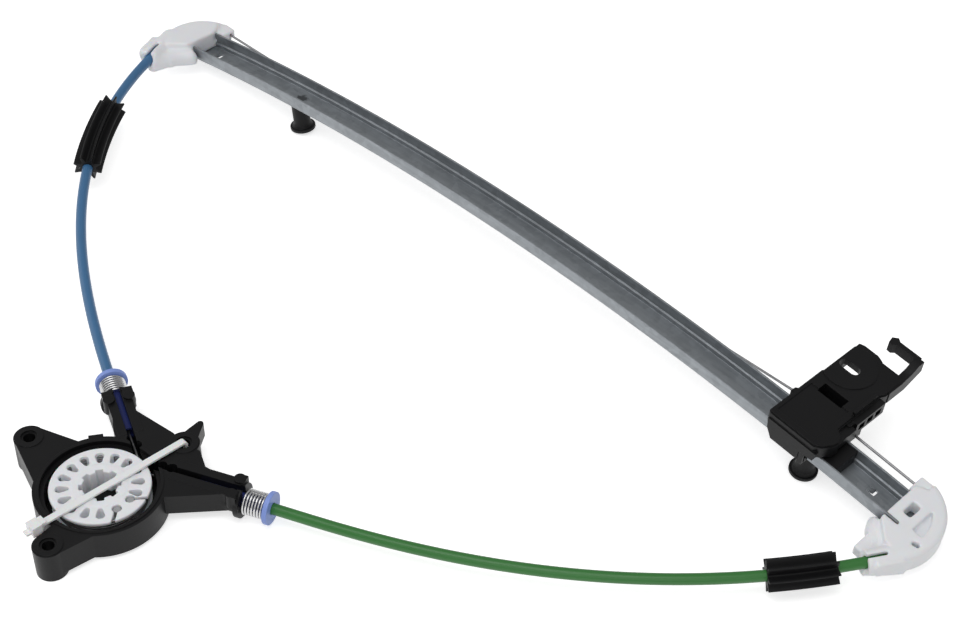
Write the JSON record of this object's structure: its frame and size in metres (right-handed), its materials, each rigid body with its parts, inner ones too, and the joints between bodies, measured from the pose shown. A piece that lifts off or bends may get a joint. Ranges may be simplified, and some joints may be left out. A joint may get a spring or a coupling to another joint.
{
  "type": "cable window regulator",
  "caption": "Single-rail cable window regulator: curved steel rail, glass carrier, cable drum in a housing, two conduits, end deflectors and a transport tie.",
  "frame": {"origin": "axis of the housing's first screw hole, at the housing's back plane", "axes": "+X along the rail from its upper to its lower end, +Y from the drum to the rail, +Z towards the motor side"},
  "size_m": [0.6049, 0.3999, 0.0463],
  "materials": {
    "galvanised": "satin",
    "bright_steel": "polished",
    "cable_steel": "satin",
    "zinc": "satin",
    "black_plastic": "matte",
    "white_plastic": "satin",
    "tie_plastic": "satin",
    "blue_ferrule": "satin",
    "blue_jacket": "satin",
    "green_jacket": "satin",
    "liner_plastic": "satin",
    "black_rubber": "matte"
  },
  "bodies": {
    "root": {"guide_rail": "galvanised", "upper_stud": "bright_steel", "lower_stud": "bright_steel", "upper_grommet": "black_rubber", "lower_grommet": "black_rubber", "upper_deflector": "white_plastic", "lower_deflector": "white_plastic", "drum_housing": "black_plastic", "upper_spring": "bright_steel", "lower_spring": "bright_steel", "upper_conduit": "blue_jacket", "lower_conduit": "green_jacket", "upper_liner": "liner_plastic", "lower_liner": "liner_plastic", "upper_pad": "black_rubber", "lower_pad": "black_rubber", "upper_run_cable": "cable_steel", "lower_run_cable": "cable_steel", "upper_strand": "cable_steel", "lower_strand": "cable_steel", "transport_tie": "tie_plastic"},
    "drum": {"cable_drum": "white_plastic", "drum_nipples": "zinc", "upper_drum_turns": "cable_steel", "lower_drum_turns": "cable_steel"},
    "slider": {"slider_body": "black_plastic", "guide_shoe": "black_plastic", "retaining_clip": "black_plastic", "slider_nipples": "zinc"},
    "upper_ferrule": {"upper_ferrule": "blue_ferrule"},
    "lower_ferrule": {"lower_ferrule": "blue_ferrule"}
  },
  "joints": [
    {"name": "slider_travel", "type": "hinge", "parent": "root", "child": "slider", "pos_m": [0.0829, 0.2829, -1.61953], "axis": [0, -1, 0], "range_deg": [-0.45, 16], "deforming": ["upper_strand", "lower_strand"]},
    {"name": "drum_spin", "type": "hinge", "parent": "root", "child": "drum", "pos_m": [0.0523, 0.0062, 0.01], "axis": [0, 0, 1], "range_deg": [-1160, 40]},
    {"name": "upper_ferrule_slide", "type": "slide", "parent": "root", "child": "upper_ferrule", "axis": [0.915, -0.4035, 0], "range_m": [0, 0.003], "stiffness_N_per_m": 1500, "springref_m": -0.004, "deforming": ["upper_spring"]},
    {"name": "lower_ferrule_slide", "type": "slide", "parent": "root", "child": "lower_ferrule", "axis": [-0.9048, -0.4258, 0], "range_m": [0, 0.003], "stiffness_N_per_m": 1500, "springref_m": -0.004, "deforming": ["lower_spring"]}
  ],
  "couplings": [
    {"joint": "drum_spin", "follows": "slider_travel", "ratio": -72.13}
  ]
}
